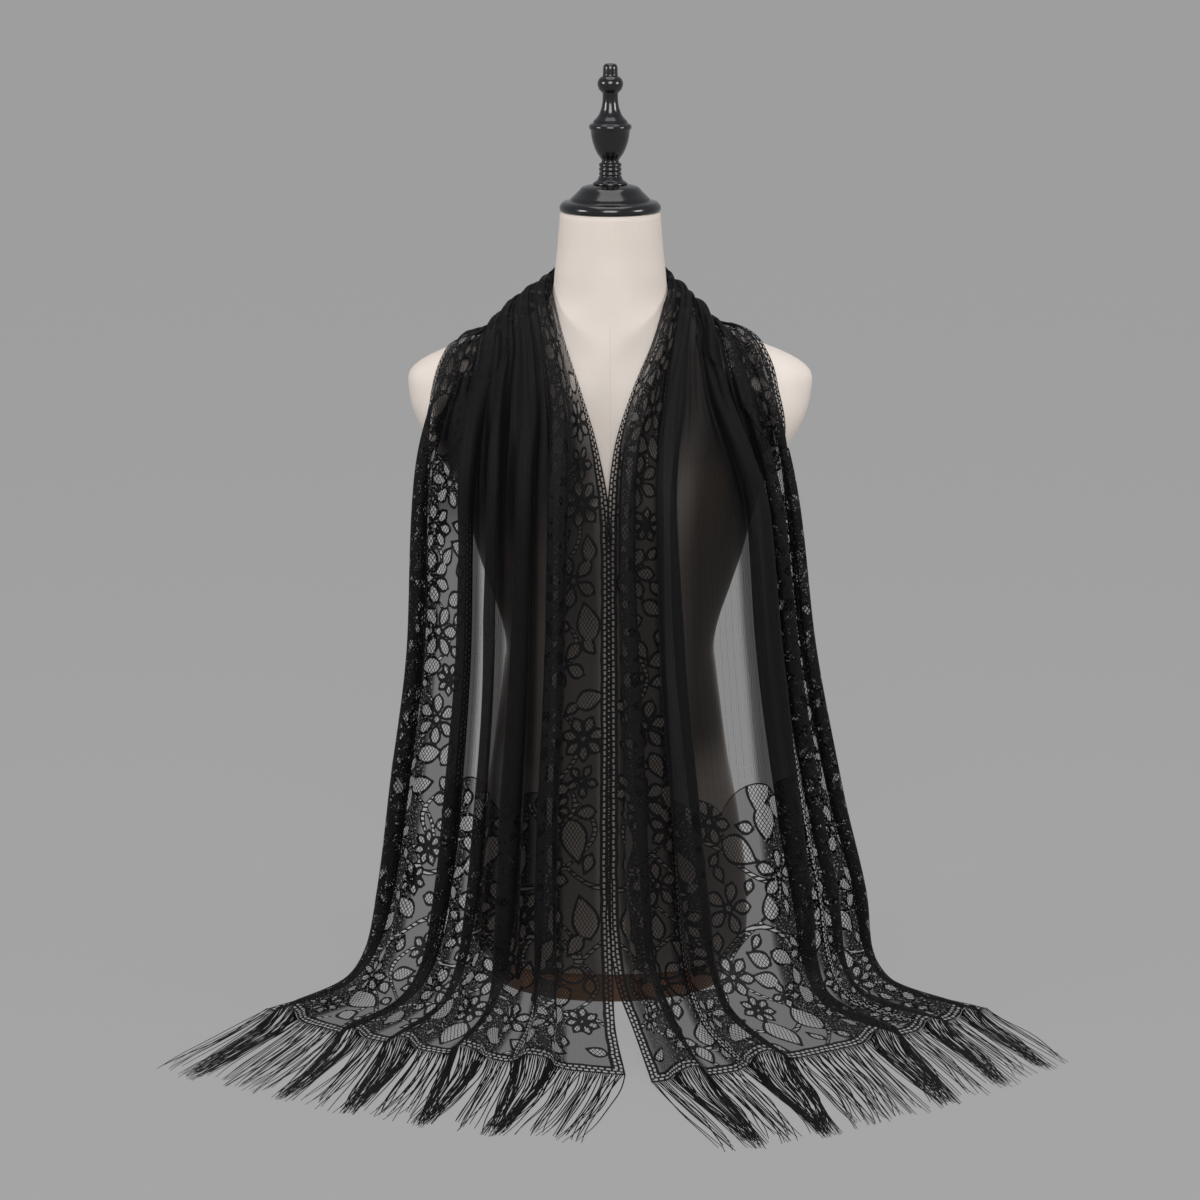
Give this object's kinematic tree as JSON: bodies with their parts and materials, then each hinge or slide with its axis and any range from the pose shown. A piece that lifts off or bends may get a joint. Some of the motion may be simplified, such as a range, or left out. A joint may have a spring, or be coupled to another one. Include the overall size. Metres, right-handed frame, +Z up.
{
  "type": "lace shawl on a dress form",
  "caption": "Long fringed lace shawl draped round the neck of a limbless tabletop dress form; both ends fall in front in folds and spread on the table.",
  "frame": {"origin": "centre of the form's base, on the table", "axes": "+Z up, the front faces -Y, +X is the viewer's right when looking at the front"},
  "size_m": [0.8269, 0.5769, 0.8983],
  "materials": {
    "linen": "plain woven linen, matte",
    "lacquer": "turned wood, black gloss lacquer",
    "wood": "clear satin varnish",
    "lace": "fine knitted floral lace, matte",
    "thread": "twisted thread with a faint sheen"
  },
  "bodies": {
    "root": {"form_torso": "linen", "neck_cap": "lacquer", "finial": "lacquer", "form_base": "wood", "shawl_nape": "lace", "shawl_left_fall": "lace", "shawl_right_fall": "lace", "fringe_left": "thread", "fringe_right": "thread"}
  },
  "joints": []
}
